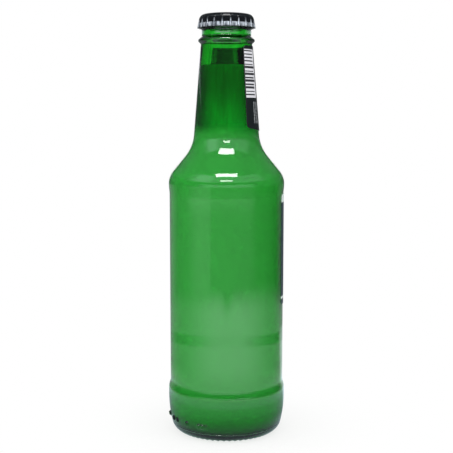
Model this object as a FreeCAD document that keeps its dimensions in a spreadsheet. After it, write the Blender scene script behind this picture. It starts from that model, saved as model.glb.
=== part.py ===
import FreeCAD, Part
import math
import os
import re
import Sketcher

# A capped glass bottle of drink: blown glass, crown cap with its liner, two wrapped labels, the drink.
# Millimetres, +Z up, origin at the centre of the bearing ring that the bottle stands on.
# Azimuths are degrees about +Z, counted from +X.

SIZES = {
    # Base of the glass
    "push_up": 2.6,
    "base_thickness": 3.4,
    "floor_rise": 2.6,
    "bearing_width": 3.0,
    "base_inset": 7.5,
    # Knurled notches round the outer edge of the bearing ring
    "knurl_count": 56,
    "knurl_reach": 1.0,
    "knurl_depth": 1.3,
    "knurl_round": 1.05,
    # Body of the glass
    "panel_radius": 29.15,
    "wall": 2.5,
    "inner_heel_round": 12.0,
    "heel_proud": 0.93,
    "heel_flank_round": 59.4,
    "heel_band_low": 18.7,
    "heel_band_width": 3.8,
    "heel_step_round": 5.5,
    "panel_top": 124.6,
    "shoulder_proud": 0.37,
    "shoulder_step_round": 8.0,
    "shoulder_band": 0.5,
    "shoulder_round": 11.0,
    "shoulder_slope": 39.4,
    # Neck and its transfer ring
    "neck_round": 19.0,
    "neck_taper": 4.63,
    "neck_proud": 0.45,
    "ring_height": 200.45,
    "ring_proud": 1.8,
    "ring_tip_round": 0.9,
    "ring_flank": 45.0,
    # Mouth of the glass, under the cap
    "finish_radius": 12.55,
    "finish_length": 12.05,
    "finish_wall": 4.05,
    "locking_proud": 0.55,
    "locking_drop": 6.2,
    "locking_height": 2.7,
    "lip_inset": 1.8,
    "lip_round": 1.3,
    "mouth_round": 1.1,
    "bore_length": 15.5,
    # Drink
    "fill_drop": 11.3,
    "drink_gap": 0.1,
    # Crown cap
    "crown_sheet": 0.25,
    "crown_clearance": 0.2,
    "crown_corner": 2.2,
    "crown_height": 6.8,
    "crown_flare": 0.35,
    "crown_turn": 4.286,
    "flute_count": 21,
    "flute_proud": 0.95,
    "flute_round": 0.85,
    "flute_drop": 1.5,
    "flute_tip_round": 0.4,
    # Liner moulded into the cap
    "liner_thickness": 0.65,
    "liner_web": 0.3,
    "liner_clearance": 0.15,
    # Labels and the glue behind them
    "label_thickness": 0.09,
    "glue_thickness": 0.04,
    "film_gap": 0.05,
    "glue_margin": 0.6,
    "label_corner": 2.3,
    "label_turn": 47.4,
    "neck_label_wrap": 199.4,
    "neck_label_tilt": 6.3,
    "neck_label_low_margin": 1.25,
    "neck_label_high_margin": 1.2,
    "body_label_wrap": 132.2,
    "body_label_height": 56.5,
    "body_label_margin": 1.1,
}

doc = FreeCAD.newDocument("soda_bottle")
sheet = doc.addObject("Spreadsheet::Sheet", "Sizes")
for row, (alias, number) in enumerate(SIZES.items(), start=1):
    sheet.set(f"A{row}", alias.replace("_", " "))
    sheet.set(f"B{row}", str(number))
    sheet.setAlias(f"B{row}", alias)
doc.recompute()


def bound(expression):
    """Give an expression of size names the sheet's name in front of each of them."""
    return re.sub(r"[a-z_]+", lambda word: "Sizes." + word[0] if word[0] in SIZES else word[0], expression)


def value(expression):
    """Work out an expression of size names as a plain number."""
    return float(sheet.evalExpression(bound(expression)))


# Places that several pieces share, as expressions of the sizes

HEEL_RADIUS = "(panel_radius + heel_proud)"
SHOULDER_RADIUS = "(panel_radius + shoulder_proud)"
BEARING_OUTER = f"({HEEL_RADIUS} - base_inset)"
BEARING_INNER = f"({BEARING_OUTER} - bearing_width)"
HEEL_BAND_TOP = "(heel_band_low + heel_band_width)"
HEEL_STEP = "sqrt(4 * heel_proud * heel_step_round - heel_proud^2)"
SHOULDER_STEP = "sqrt(4 * shoulder_proud * shoulder_step_round - shoulder_proud^2)"
SHOULDER_BAND_LOW = f"(panel_top + {SHOULDER_STEP})"
SHOULDER_START = f"({SHOULDER_BAND_LOW} + shoulder_band)"
NECK_RADIUS = "(finish_radius + neck_proud)"
RING_RADIUS = "(finish_radius + ring_proud)"
RING_TANGENT_RADIUS = f"({RING_RADIUS} - ring_tip_round * (1 - cos(ring_flank)))"
RING_TANGENT_RISE = "(ring_tip_round * sin(ring_flank))"
NECK_TOP = (f"(ring_height - {RING_TANGENT_RISE}"
            f" - ({RING_TANGENT_RADIUS} - {NECK_RADIUS}) * tan(ring_flank))")
GLASS_HEIGHT = "(ring_height + finish_length)"
LOCKING_RADIUS = "(finish_radius + locking_proud)"
BORE_RADIUS = "(finish_radius - finish_wall)"
LAND_RADIUS = f"({LOCKING_RADIUS} - lip_inset)"
BORE_END = f"({GLASS_HEIGHT} - bore_length)"
FILL_LEVEL = f"({NECK_TOP} - fill_drop)"
CROWN_TOP = f"({GLASS_HEIGHT} + liner_thickness + crown_sheet)"
CROWN_LOW = f"({CROWN_TOP} - crown_height)"
SKIRT_RADIUS = f"({LOCKING_RADIUS} + crown_clearance + crown_sheet)"
SKIRT_LOW_RADIUS = f"({SKIRT_RADIUS} + crown_flare)"
CROWN_FLAT = f"({SKIRT_RADIUS} - crown_corner)"


def neck_radius_at(height):
    """Outside radius of the tapered neck at a height."""
    return f"({NECK_RADIUS} + ({NECK_TOP} - {height}) * tan(neck_taper))"


def shoulder_outline(inset):
    """Corners and arc radii from the wall, over the shoulder, to the foot of the neck.

    An inset of 0 gives the outside of the glass. Any other inset moves the outline inwards by that much.
    """
    outside = inset == "0"
    wall_radius = SHOULDER_RADIUS if outside else f"(panel_radius - {inset})"
    crest = f"(shoulder_round - {inset})"
    hollow = f"(neck_round + {inset})"
    neck_top_radius = f"({NECK_RADIUS} - {inset})"
    crest_radius = f"({wall_radius} - {crest} * (1 - cos(shoulder_slope)))"
    crest_height = f"({SHOULDER_START} + {crest} * sin(shoulder_slope))"
    meeting_height = (f"(({crest_radius} + {crest_height} * tan(shoulder_slope)"
                      f" - {neck_top_radius} - {NECK_TOP} * tan(neck_taper))"
                      " / (tan(shoulder_slope) - tan(neck_taper)))")
    meeting_radius = f"({neck_top_radius} + ({NECK_TOP} - {meeting_height}) * tan(neck_taper))"
    reach = f"({hollow} * tan((shoulder_slope - neck_taper) / 2))"
    slope_end = (f"{meeting_radius} + {reach} * sin(shoulder_slope)",
                 f"{meeting_height} - {reach} * cos(shoulder_slope)")
    neck_foot = (f"{meeting_radius} - {reach} * sin(neck_taper)",
                 f"{meeting_height} + {reach} * cos(neck_taper)")
    return {
        "wall": (wall_radius, SHOULDER_START),
        "crest": (crest_radius, crest_height),
        "slope_end": slope_end,
        "neck_foot": neck_foot,
        "crest_round": crest,
        "hollow_round": hollow,
    }


def neck_inside_at(height):
    """Inside radius of the neck at a height. It narrows evenly from the neck's foot up to the bore."""
    foot_radius, foot_height = shoulder_outline("wall")["neck_foot"]
    rise_share = f"(({BORE_END} - {height}) / ({BORE_END} - ({foot_height})))"
    return f"({BORE_RADIUS} + (({foot_radius}) - {BORE_RADIUS}) * {rise_share})"


def floor_outline(gap):
    """Corners and arc radii of the inside floor, from its centre out to the foot of the wall."""
    apex = "(push_up + base_thickness)"
    round_radius = "(panel_radius - wall - inner_heel_round)"
    round_height = f"({apex} - floor_rise + inner_heel_round)"
    dome = (f"(({round_radius}^2 + ({round_height} - {apex})^2 - inner_heel_round^2)"
            " / (2 * floor_rise))")
    share = f"(({dome} + {gap}) / ({dome} + inner_heel_round))"
    return {
        "centre": ("0", f"{apex} + {gap}"),
        "valley": (f"{round_radius} * {share}",
                   f"{apex} - {dome} + ({round_height} - {apex} + {dome}) * {share}"),
        "wall": (f"panel_radius - wall - {gap}", round_height),
        "dome_round": f"{dome} + {gap}",
        "heel_round": f"inner_heel_round - {gap}",
    }


def new_body(name):
    """Start an empty sub-part with its own name."""
    body = doc.addObject("PartDesign::Body", name)
    body.Label = name
    return body


def origin_feature(body, role):
    """One of a body's own origin planes or axes."""
    return next(feature for feature in body.Origin.OriginFeatures if feature.Role == role)


def new_sketch(body, name, plane, height=None):
    """Start a sketch on one of the body's origin planes, lifted off it by a bound height."""
    sketch = body.newObject("Sketcher::SketchObject", name)
    sketch.AttachmentSupport = (origin_feature(body, plane), [""])
    sketch.MapMode = "FlatFace"
    if height is not None:
        sketch.setExpression("AttachmentOffset.Base.z", bound(height))
    return sketch


def constrain(sketch, expression, kind, *places):
    """Add one dimension to a sketch and bind it to the sizes."""
    index = sketch.addConstraint(Sketcher.Constraint(kind, *places, value(expression)))
    sketch.setExpression(f"Constraints[{index}]", bound(expression))


def pin_point(sketch, edge, end, across, up):
    """Fix one end of an edge at bound distances from the sketch's two axes."""
    for expression, kind, axis in ((across, "DistanceX", -2), (up, "DistanceY", -1)):
        if expression == "0":
            sketch.addConstraint(Sketcher.Constraint("PointOnObject", edge, end, axis))
        else:
            constrain(sketch, expression, kind, -1, 1, edge, end)


def arc_between(start, end, radius, turn):
    """Circle arc from start to end; a turn of 1 bends it to the left of the way along, -1 to the right."""
    chord = end - start
    half = chord.Length / 2
    sideways = FreeCAD.Vector(-chord.y, chord.x, 0).normalize()
    centre = (start + end) / 2 + sideways * (turn * math.sqrt(radius**2 - half**2))
    first, last = (start, end) if turn == 1 else (end, start)
    angles = [math.atan2(point.y - centre.y, point.x - centre.x) for point in (first, last)]
    if angles[1] < angles[0]:
        angles[1] += 2 * math.pi
    return Part.ArcOfCircle(Part.Circle(centre, FreeCAD.Vector(0, 0, 1), radius), *angles)


def draw_outline(sketch, corners, arcs=None):
    """Draw a closed outline through bound corners.

    arcs gives, for the number of the edge that starts at that corner, a bound radius and the way it turns.
    """
    arcs = arcs or {}
    points = [FreeCAD.Vector(value(across), value(up), 0) for across, up in corners]
    ends = []
    for number, start in enumerate(points):
        end = points[(number + 1) % len(points)]
        if number in arcs:
            radius, turn = arcs[number]
            edge = sketch.addGeometry(arc_between(start, end, value(radius), turn))
            ends.append((edge, 1, 2) if turn == 1 else (edge, 2, 1))
        else:
            edge = sketch.addGeometry(Part.LineSegment(start, end))
            ends.append((edge, 1, 2))
    for number, (edge, first, last) in enumerate(ends):
        following, following_first, _ = ends[(number + 1) % len(ends)]
        sketch.addConstraint(Sketcher.Constraint("Coincident", edge, last, following, following_first))
        pin_point(sketch, edge, first, *corners[number])
        if number in arcs:
            constrain(sketch, arcs[number][0], "Radius", edge)


def draw_circle(sketch, across, up, radius):
    """Draw one bound circle."""
    centre = FreeCAD.Vector(value(across), value(up), 0)
    edge = sketch.addGeometry(Part.Circle(centre, FreeCAD.Vector(0, 0, 1), value(radius)))
    pin_point(sketch, edge, 3, across, up)
    constrain(sketch, radius, "Radius", edge)


def revolve(body, name, kind, sketch, angle=None):
    """Turn a sketch about +Z, all the way round or evenly to both sides by a bound angle."""
    feature = body.newObject(kind, name)
    feature.Profile = sketch
    feature.ReferenceAxis = (sketch, ["V_Axis"])
    feature.Angle = 360
    if angle is not None:
        feature.Midplane = True
        feature.setExpression("Angle", bound(angle))
    doc.recompute()
    return feature


def repeat_round(body, name, original, count):
    """Repeat a feature evenly round +Z."""
    pattern = body.newObject("PartDesign::PolarPattern", name)
    pattern.Originals = [original]
    pattern.Axis = (origin_feature(body, "Z_Axis"), [""])
    pattern.Angle = 360
    pattern.setExpression("Occurrences", bound(count))
    body.Tip = pattern
    doc.recompute()
    return pattern


def turn_about_z(body, angle):
    """Turn a whole sub-part about +Z by a bound angle."""
    body.Placement = FreeCAD.Placement(FreeCAD.Vector(0, 0, 0), FreeCAD.Vector(0, 0, 1), value(angle))
    body.setExpression("Placement.Rotation.Angle", bound(angle))


def require_less(before, feature):
    """Stop if a cut took nothing away."""
    if feature.Shape.Volume >= before - 1e-6:
        raise RuntimeError(f"{feature.Name} cuts nothing")


def glass_bottle():
    """Blown glass in one revolved section, with knurled notches round its bearing ring."""
    body = new_body("glass_bottle")
    outside = shoulder_outline("0")
    inside = shoulder_outline("wall")
    floor = floor_outline("0")
    corner_round = ("((2 * heel_flank_round * base_inset - base_inset^2 - heel_band_low^2)"
                    " / (2 * (heel_flank_round - heel_band_low)))")
    flank_share = f"(heel_flank_round / (heel_flank_round - {corner_round}))"
    ring_top = (f"ring_height + {RING_TANGENT_RISE}"
                f" + ({RING_TANGENT_RADIUS} - finish_radius) * tan(ring_flank)")
    locking_low = f"({GLASS_HEIGHT} - locking_drop)"
    lip_side = f"({LAND_RADIUS} + lip_round)"
    corners = [
        ("0", "push_up"),
        (BEARING_INNER, "0"),
        (BEARING_OUTER, "0"),
        (f"{HEEL_RADIUS} - heel_flank_round + (heel_flank_round - base_inset) * {flank_share}",
         f"heel_band_low + ({corner_round} - heel_band_low) * {flank_share}"),
        (HEEL_RADIUS, "heel_band_low"),
        (HEEL_RADIUS, HEEL_BAND_TOP),
        ("panel_radius + heel_proud / 2", f"{HEEL_BAND_TOP} + {HEEL_STEP} / 2"),
        ("panel_radius", f"{HEEL_BAND_TOP} + {HEEL_STEP}"),
        ("panel_radius", "panel_top"),
        ("panel_radius + shoulder_proud / 2", f"panel_top + {SHOULDER_STEP} / 2"),
        (SHOULDER_RADIUS, SHOULDER_BAND_LOW),
        outside["wall"],
        outside["crest"],
        outside["slope_end"],
        outside["neck_foot"],
        (NECK_RADIUS, NECK_TOP),
        (RING_TANGENT_RADIUS, f"ring_height - {RING_TANGENT_RISE}"),
        (RING_TANGENT_RADIUS, f"ring_height + {RING_TANGENT_RISE}"),
        ("finish_radius", ring_top),
        ("finish_radius", f"{locking_low} - locking_proud"),
        (LOCKING_RADIUS, locking_low),
        (LOCKING_RADIUS, f"{locking_low} + locking_height"),
        (lip_side, f"{GLASS_HEIGHT} - lip_round"),
        (LAND_RADIUS, GLASS_HEIGHT),
        (f"{BORE_RADIUS} + mouth_round", GLASS_HEIGHT),
        (BORE_RADIUS, f"{GLASS_HEIGHT} - mouth_round"),
        (BORE_RADIUS, BORE_END),
        inside["neck_foot"],
        inside["slope_end"],
        inside["crest"],
        inside["wall"],
        floor["wall"],
        floor["valley"],
        floor["centre"],
    ]
    arcs = {
        0: (f"({BEARING_INNER}^2 + push_up^2) / (2 * push_up)", -1),
        2: (corner_round, 1),
        3: ("heel_flank_round", 1),
        5: ("heel_step_round", 1),
        6: ("heel_step_round", -1),
        8: ("shoulder_step_round", -1),
        9: ("shoulder_step_round", 1),
        11: (outside["crest_round"], 1),
        13: (outside["hollow_round"], -1),
        16: ("ring_tip_round", 1),
        22: ("lip_round", 1),
        24: ("mouth_round", 1),
        27: (inside["hollow_round"], 1),
        29: (inside["crest_round"], -1),
        31: (floor["heel_round"], -1),
        32: (floor["dome_round"], 1),
    }
    section = new_sketch(body, "glass_section", "XZ_Plane")
    draw_outline(section, corners, arcs)
    blown = revolve(body, "blown_glass", "PartDesign::Revolution", section)

    notch_section = new_sketch(body, "knurl_section", "YZ_Plane", f"{BEARING_OUTER} - knurl_reach")
    notch_centre = FreeCAD.Vector(0, -value("knurl_round - knurl_depth"), 0)
    notch_edge = notch_section.addGeometry(
        Part.Circle(notch_centre, FreeCAD.Vector(0, 0, 1), value("knurl_round")))
    notch_section.addConstraint(Sketcher.Constraint("PointOnObject", notch_edge, 3, -2))
    constrain(notch_section, "knurl_round - knurl_depth", "DistanceY", notch_edge, 3, -1, 1)
    constrain(notch_section, "knurl_round", "Radius", notch_edge)
    notch = body.newObject("PartDesign::Pocket", "knurl_notch")
    notch.Profile = notch_section
    notch.Reversed = True
    notch.setExpression("Length", bound("base_inset"))
    doc.recompute()
    require_less(blown.Shape.Volume, notch)
    repeat_round(body, "knurl_ring", notch, "knurl_count")
    return body


def drink():
    """The drink, filling the glass up into the neck."""
    body = new_body("drink")
    inside = shoulder_outline("(wall + drink_gap)")
    floor = floor_outline("drink_gap")
    corners = [
        floor["centre"],
        floor["valley"],
        floor["wall"],
        inside["wall"],
        inside["crest"],
        inside["slope_end"],
        inside["neck_foot"],
        (f"{neck_inside_at(FILL_LEVEL)} - drink_gap", FILL_LEVEL),
        ("0", FILL_LEVEL),
    ]
    arcs = {
        0: (floor["dome_round"], -1),
        1: (floor["heel_round"], 1),
        3: (inside["crest_round"], 1),
        5: (inside["hollow_round"], -1),
    }
    section = new_sketch(body, "drink_section", "XZ_Plane")
    draw_outline(section, corners, arcs)
    revolve(body, "drink_fill", "PartDesign::Revolution", section)
    return body


def crown_shell():
    """Pressed crown cap: a flat top, a rounded corner and a skirt of hollow flutes."""
    body = new_body("crown_shell")
    skirt_top = f"({CROWN_TOP} - crown_corner)"
    blank = new_sketch(body, "crown_section", "XZ_Plane")
    draw_outline(blank, [
        ("0", CROWN_LOW),
        (SKIRT_LOW_RADIUS, CROWN_LOW),
        (SKIRT_RADIUS, skirt_top),
        (CROWN_FLAT, CROWN_TOP),
        ("0", CROWN_TOP),
    ], {2: ("crown_corner", 1)})
    revolve(body, "crown_blank", "PartDesign::Revolution", blank)

    def flute(name, kind, thinner):
        """Round tapering flute down the skirt, thinner all round by a bound amount."""
        low = new_sketch(body, f"{name}_low", "XY_Plane", CROWN_LOW)
        draw_circle(low, f"{SKIRT_LOW_RADIUS} + flute_proud - flute_round", "0", f"flute_round - {thinner}")
        high = new_sketch(body, f"{name}_high", "XY_Plane", f"{CROWN_TOP} - flute_drop")
        draw_circle(high, f"{SKIRT_RADIUS} - flute_tip_round", "0", f"flute_tip_round - {thinner}")
        loft = body.newObject(kind, name)
        loft.Profile = low
        loft.Sections = [high]
        doc.recompute()
        return loft

    ridge = flute("flute_ridge", "PartDesign::AdditiveLoft", "0")
    ridges = repeat_round(body, "flute_ridges", ridge, "flute_count")

    bowl = new_sketch(body, "crown_inside", "XZ_Plane")
    draw_outline(bowl, [
        ("0", CROWN_LOW),
        (f"{SKIRT_LOW_RADIUS} - crown_sheet", CROWN_LOW),
        (f"{SKIRT_RADIUS} - crown_sheet", skirt_top),
        (CROWN_FLAT, f"{CROWN_TOP} - crown_sheet"),
        ("0", f"{CROWN_TOP} - crown_sheet"),
    ], {2: ("crown_corner - crown_sheet", 1)})
    hollow = revolve(body, "crown_hollow", "PartDesign::Groove", bowl)
    require_less(ridges.Shape.Volume, hollow)

    furrow = flute("flute_furrow", "PartDesign::SubtractiveLoft", "crown_sheet")
    require_less(hollow.Shape.Volume, furrow)
    repeat_round(body, "flute_furrows", furrow, "flute_count")
    turn_about_z(body, "crown_turn")
    return body


def crown_liner():
    """Sealing liner inside the cap: a thin web with a thick rim that sits on the mouth of the glass."""
    body = new_body("crown_liner")
    rim_radius = f"{CROWN_FLAT} - liner_clearance"
    seat = f"{CROWN_TOP} - crown_sheet"
    web_low = f"{seat} - liner_web"
    section = new_sketch(body, "liner_section", "XZ_Plane")
    draw_outline(section, [
        ("0", web_low),
        (f"{BORE_RADIUS} - (liner_thickness - liner_web)", web_low),
        (BORE_RADIUS, GLASS_HEIGHT),
        (rim_radius, GLASS_HEIGHT),
        (rim_radius, seat),
        ("0", seat),
    ])
    revolve(body, "liner_moulding", "PartDesign::Revolution", section)
    return body


def corner_cut(body, name, corner, corner_round, slope, upwards, wrap, reach):
    """Round one corner of a wrapped film, at the end where its wrap begins.

    The sketch faces that end squarely, so its upright axis runs along the end of the film. corner is the
    height of the film's corner, slope is how steeply the edge falls away from it, and upwards is 1 at a
    lower corner, -1 at an upper one.
    """
    tangent = f"({corner_round} * tan((90 - {slope}) / 2))"
    level = f"({corner} - {upwards} * 2 * {corner_round})"
    along = f"{tangent} * cos({slope})"
    sketch = new_sketch(body, f"{name}_outline", "YZ_Plane")
    sketch.AttachmentOffset = FreeCAD.Placement(
        FreeCAD.Vector(0, 0, 0), FreeCAD.Vector(0, -1, 0), value(f"{wrap} / 2"))
    sketch.setExpression("AttachmentOffset.Rotation.Angle", bound(f"{wrap} / 2"))
    draw_outline(sketch, [
        ("0", level),
        (along, level),
        (along, f"{corner} - {upwards} * {tangent} * sin({slope})"),
        ("0", f"{corner} + {upwards} * {tangent}"),
    ], {2: (corner_round, -upwards)})
    cut = body.newObject("PartDesign::Pocket", name)
    cut.Profile = sketch
    cut.Reversed = True
    cut.setExpression("Length", bound(reach))
    doc.recompute()
    return cut


def wrapped_film(name, radius_at, low, high, wrap, layer, margin, tilt="0"):
    """Thin film wrapped part of the way round the glass, with rounded corners.

    layer is how far the film's inner face stands off the glass and how thick the film is. margin sets the
    film's outline in from the label's, and a tilt lowers the middle of its lower edge against its ends.
    """
    stand_off, thickness = layer
    body = new_body(name)
    low = f"({low} + {margin})"
    high = f"({high} - {margin})"
    low_radius = radius_at(low)
    reach = f"(2 * {low_radius})"
    angle = f"({wrap} - 2 * {margin} / {low_radius} * 180 / pi)"
    section = new_sketch(body, f"{name}_section", "XZ_Plane")
    draw_outline(section, [
        (f"{low_radius} + {stand_off}", low),
        (f"{low_radius} + {stand_off} + {thickness}", low),
        (f"{radius_at(high)} + {stand_off} + {thickness}", high),
        (f"{radius_at(high)} + {stand_off}", high),
    ])
    film = revolve(body, f"{name}_wrap", "PartDesign::Revolution", section, angle)
    if tilt != "0":
        offcut = new_sketch(body, f"{name}_offcut", "XZ_Plane")
        draw_outline(offcut, [
            (f"-{reach}", f"{low} - {reach}"),
            (reach, f"{low} - {reach}"),
            (reach, f"{low} - {low_radius} * tan({tilt})"),
            (f"-{reach}", f"{low} + 3 * {low_radius} * tan({tilt})"),
        ])
        trim = body.newObject("PartDesign::Pocket", f"{name}_trim")
        trim.Profile = offcut
        trim.Midplane = True
        trim.setExpression("Length", bound(f"2 * {reach}"))
        doc.recompute()
        require_less(film.Shape.Volume, trim)
        film = trim
    corner_round = f"(label_corner - {margin})"
    low_corner = f"({low} + {low_radius} * (1 - cos({angle} / 2)) * tan({tilt}))"
    lower = corner_cut(body, f"{name}_low_corner", low_corner, corner_round, tilt, 1, angle, reach)
    require_less(film.Shape.Volume, lower)
    upper = corner_cut(body, f"{name}_high_corner", high, corner_round, "0", -1, angle, reach)
    require_less(lower.Shape.Volume, upper)
    both_ends = body.newObject("PartDesign::Mirrored", f"{name}_corners")
    both_ends.Originals = [lower, upper]
    both_ends.MirrorPlane = (origin_feature(body, "XZ_Plane"), [""])
    body.Tip = both_ends
    turn_about_z(body, "label_turn")
    doc.recompute()
    require_less(upper.Shape.Volume, both_ends)
    return body


def panel_radius_at(_height):
    """Outside radius of the straight label panel, the same at every height."""
    return "panel_radius"


def labels():
    """Neck label and body label, each over its own coat of glue."""
    glue_layer = ("film_gap", "glue_thickness")
    paper_layer = ("(2 * film_gap + glue_thickness)", "label_thickness")
    neck_low = f"({shoulder_outline('0')['neck_foot'][1]} + neck_label_low_margin)"
    neck_high = f"({NECK_TOP} - neck_label_high_margin)"
    body_high = "(panel_top - body_label_margin)"
    body_low = f"({body_high} - body_label_height)"
    neck_place = (neck_radius_at, neck_low, neck_high, "neck_label_wrap")
    body_place = (panel_radius_at, body_low, body_high, "body_label_wrap")
    return [
        wrapped_film("neck_label_glue", *neck_place, glue_layer, "glue_margin", "neck_label_tilt"),
        wrapped_film("neck_label", *neck_place, paper_layer, "0", "neck_label_tilt"),
        wrapped_film("body_label_glue", *body_place, glue_layer, "glue_margin"),
        wrapped_film("body_label", *body_place, paper_layer, "0"),
    ]


sub_parts = [glass_bottle(), drink(), crown_shell(), crown_liner(), *labels()]
doc.recompute()

for item in doc.Objects:
    if "Invalid" in item.State or "Error" in item.State:
        raise RuntimeError(f"{item.Name} failed: {item.State}")
for part in sub_parts:
    if part.Shape.isNull() or not part.Shape.isValid():
        raise RuntimeError(f"{part.Label} has no valid shape")

os.makedirs("parts", exist_ok=True)
for part in sub_parts:
    part.Shape.exportStep(f"parts/{part.Label}.step")
    box = part.Shape.BoundBox
    print(f"{part.Label}: {len(part.Shape.Solids)} solid, {part.Shape.Volume:.2f} mm3,"
          f" z {box.ZMin:.2f} to {box.ZMax:.2f}, width {box.XLength:.2f}")
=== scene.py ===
# %% [markdown]
# # A capped bottle of drink in green glass
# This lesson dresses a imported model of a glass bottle: the glass, the cloudy drink in it, a crown cap
# with its liner, and two wrapped labels on their glue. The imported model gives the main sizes, so nothing
# is fitted by eye. Almost every piece is turned about one axis or wrapped round it, and so Geometry Nodes
# make them by rule.

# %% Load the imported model
import math

import bmesh
import bpy
from mathutils import Matrix, Vector


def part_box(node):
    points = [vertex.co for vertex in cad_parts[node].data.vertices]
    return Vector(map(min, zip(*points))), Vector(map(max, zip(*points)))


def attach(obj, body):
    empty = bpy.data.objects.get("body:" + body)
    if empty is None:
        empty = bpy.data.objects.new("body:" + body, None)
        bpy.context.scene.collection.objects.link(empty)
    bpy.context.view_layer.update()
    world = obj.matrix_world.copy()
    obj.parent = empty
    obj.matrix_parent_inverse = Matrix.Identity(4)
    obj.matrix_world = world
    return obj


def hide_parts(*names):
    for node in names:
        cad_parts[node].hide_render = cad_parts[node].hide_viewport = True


MM = 0.001
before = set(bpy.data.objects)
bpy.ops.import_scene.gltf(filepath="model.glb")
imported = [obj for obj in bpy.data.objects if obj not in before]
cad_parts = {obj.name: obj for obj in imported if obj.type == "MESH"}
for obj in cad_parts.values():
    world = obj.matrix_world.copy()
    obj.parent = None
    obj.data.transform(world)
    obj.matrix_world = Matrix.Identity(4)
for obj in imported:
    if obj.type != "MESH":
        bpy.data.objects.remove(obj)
scene = bpy.context.scene
scene.view_settings.view_transform = "Standard"
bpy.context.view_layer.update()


def box_mm(node):
    """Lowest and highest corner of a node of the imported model, in millimetres."""
    lowest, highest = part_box(node)
    return lowest / MM, highest / MM


for node_name in sorted(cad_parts):
    print(node_name, "is", [round(side, 1) for side in box_mm(node_name)[1] - box_mm(node_name)[0]], "mm")

# %% [markdown]
# ## Camera
# The bottle is seen from half a metre away, from a little above its middle, so that its cap is seen from
# below and its foot from above. A 75 mm lens on a 36 mm sensor gives those curves. The camera is tilted
# and never shifted, so that it can be moved round the bottle later.

# %% Place the camera
CAMERA_DISTANCE = 485.5
CAMERA_HEIGHT = 161.5
CAMERA_TILT = math.radians(6.5)

camera_data = bpy.data.cameras.new("camera")
camera_data.sensor_width = 36.0
camera_data.lens = 75.34
camera = bpy.data.objects.new("camera", camera_data)
camera.location = (0.0, -CAMERA_DISTANCE * MM, CAMERA_HEIGHT * MM)
camera.rotation_euler = (math.pi / 2 - CAMERA_TILT, 0.0, 0.0)
scene.collection.objects.link(camera)
scene.camera = camera
print("field of view", round(math.degrees(camera_data.angle), 1), "degrees")

# %% [markdown]
# ## Arithmetic that adds nodes
# Shapes, materials and the sky are all built from nodes. Wired by hand, that takes a line for every
# socket, so one helper adds a node and fills its sockets. What comes out of a node is kept as a field.
# Sums and products of fields can then be written as such, and each adds the nodes for it. A soft
# threshold comes back so often that a field has it too.

# %% Add nodes and arithmetic
class Field:
    """What comes out of a node. Arithmetic with it adds more nodes to its tree."""

    def __init__(self, tree, socket):
        self.tree = tree
        self.socket = socket

    def calc(self, operation, *others):
        """One step of arithmetic on this field and other values."""
        return add(self.tree, "ShaderNodeMath", dict(enumerate((self, *others))), operation=operation)

    def __add__(self, other):
        return self.calc("ADD", other)

    def __mul__(self, other):
        return self.calc("MULTIPLY", other)

    def __sub__(self, other):
        return self.calc("SUBTRACT", other)

    def __rsub__(self, other):
        return add(self.tree, "ShaderNodeMath", {0: other, 1: self}, operation="SUBTRACT")

    def __truediv__(self, other):
        return self.calc("DIVIDE", other)

    def __rtruediv__(self, other):
        return add(self.tree, "ShaderNodeMath", {0: other, 1: self}, operation="DIVIDE")

    def __abs__(self):
        return self.calc("ABSOLUTE")

    def ramp(self, low, high, start=0.0, end=1.0):
        """A smooth step from start to end while the field goes from low to high."""
        values = {"Value": self, "From Min": low, "From Max": high, "To Min": start, "To Max": end}
        return add(self.tree, "ShaderNodeMapRange", values, interpolation_type="SMOOTHSTEP")

    def band(self, low, high, soft):
        """1 between low and high and 0 outside, with soft edges."""
        return self.ramp(low - soft, low + soft) * self.ramp(high - soft, high + soft, 1.0, 0.0)


def plug(tree, socket, value):
    """Link a socket to a field, or set its value."""
    if isinstance(value, Field):
        tree.links.new(value.socket, socket)
    else:
        socket.default_value = value


def add(tree, kind, values=None, result=0, **settings):
    """Add a node, make its settings, fill its sockets by name or number, and give one of its results."""
    made = tree.nodes.new(kind)
    for name, setting in settings.items():
        setattr(made, name, setting)
    for name, value in (values or {}).items():
        plug(tree, made.inputs[name], value)
    return Field(tree, made.outputs[result])


def largest(field, *others):
    """The largest of a field and other values."""
    for other in others:
        field = field.calc("MAXIMUM", other)
    return field


def split(vector):
    """The X, Y and Z of a vector."""
    made = vector.tree.nodes.new("ShaderNodeSeparateXYZ")
    plug(vector.tree, made.inputs[0], vector)
    return [Field(vector.tree, part) for part in made.outputs]


def join(x, y, z=0.0):
    """A vector from its X, Y and Z."""
    return add(x.tree, "ShaderNodeCombineXYZ", {"X": x, "Y": y, "Z": z})


def length(x, y):
    """Distance of a place on the level from the middle."""
    return add(x.tree, "ShaderNodeVectorMath", {0: join(x, y)}, "Value", operation="LENGTH")


def mm(*sizes):
    """Sizes in millimetres, as metres."""
    return [size * MM for size in sizes]


print("fields are ready")

# %% [markdown]
# Materials need a few more short forms. Each material starts from the place of a point on the piece, in
# metres, and real sizes go straight into its noise: lumps of one millimetre are one millimetre, whatever
# the piece.

# %% Start materials


def new_material(name):
    """An empty material, and the place of each point in metres."""
    material = bpy.data.materials.new(name)
    material.use_nodes = True
    material.node_tree.nodes.clear()
    return material, add(material.node_tree, "ShaderNodeTexCoord", result="Object")


def skin(material, values, kind="BsdfPrincipled", filling=None):
    """Give a material its shader and, for a tinted one, its filling."""
    tree = material.node_tree
    output = tree.nodes.new("ShaderNodeOutputMaterial").inputs
    plug(tree, output["Surface"], add(tree, f"ShaderNode{kind}", values))
    if filling:
        plug(tree, output["Volume"], filling)
    return material


def grey(level):
    """A neutral colour."""
    return (level, level, level, 1.0)


def mixed(share, first, second):
    """Two colours mixed by a share of the second."""
    return add(share.tree, "ShaderNodeMix", {0: share, 6: first, 7: second}, 2, data_type="RGBA")


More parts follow.
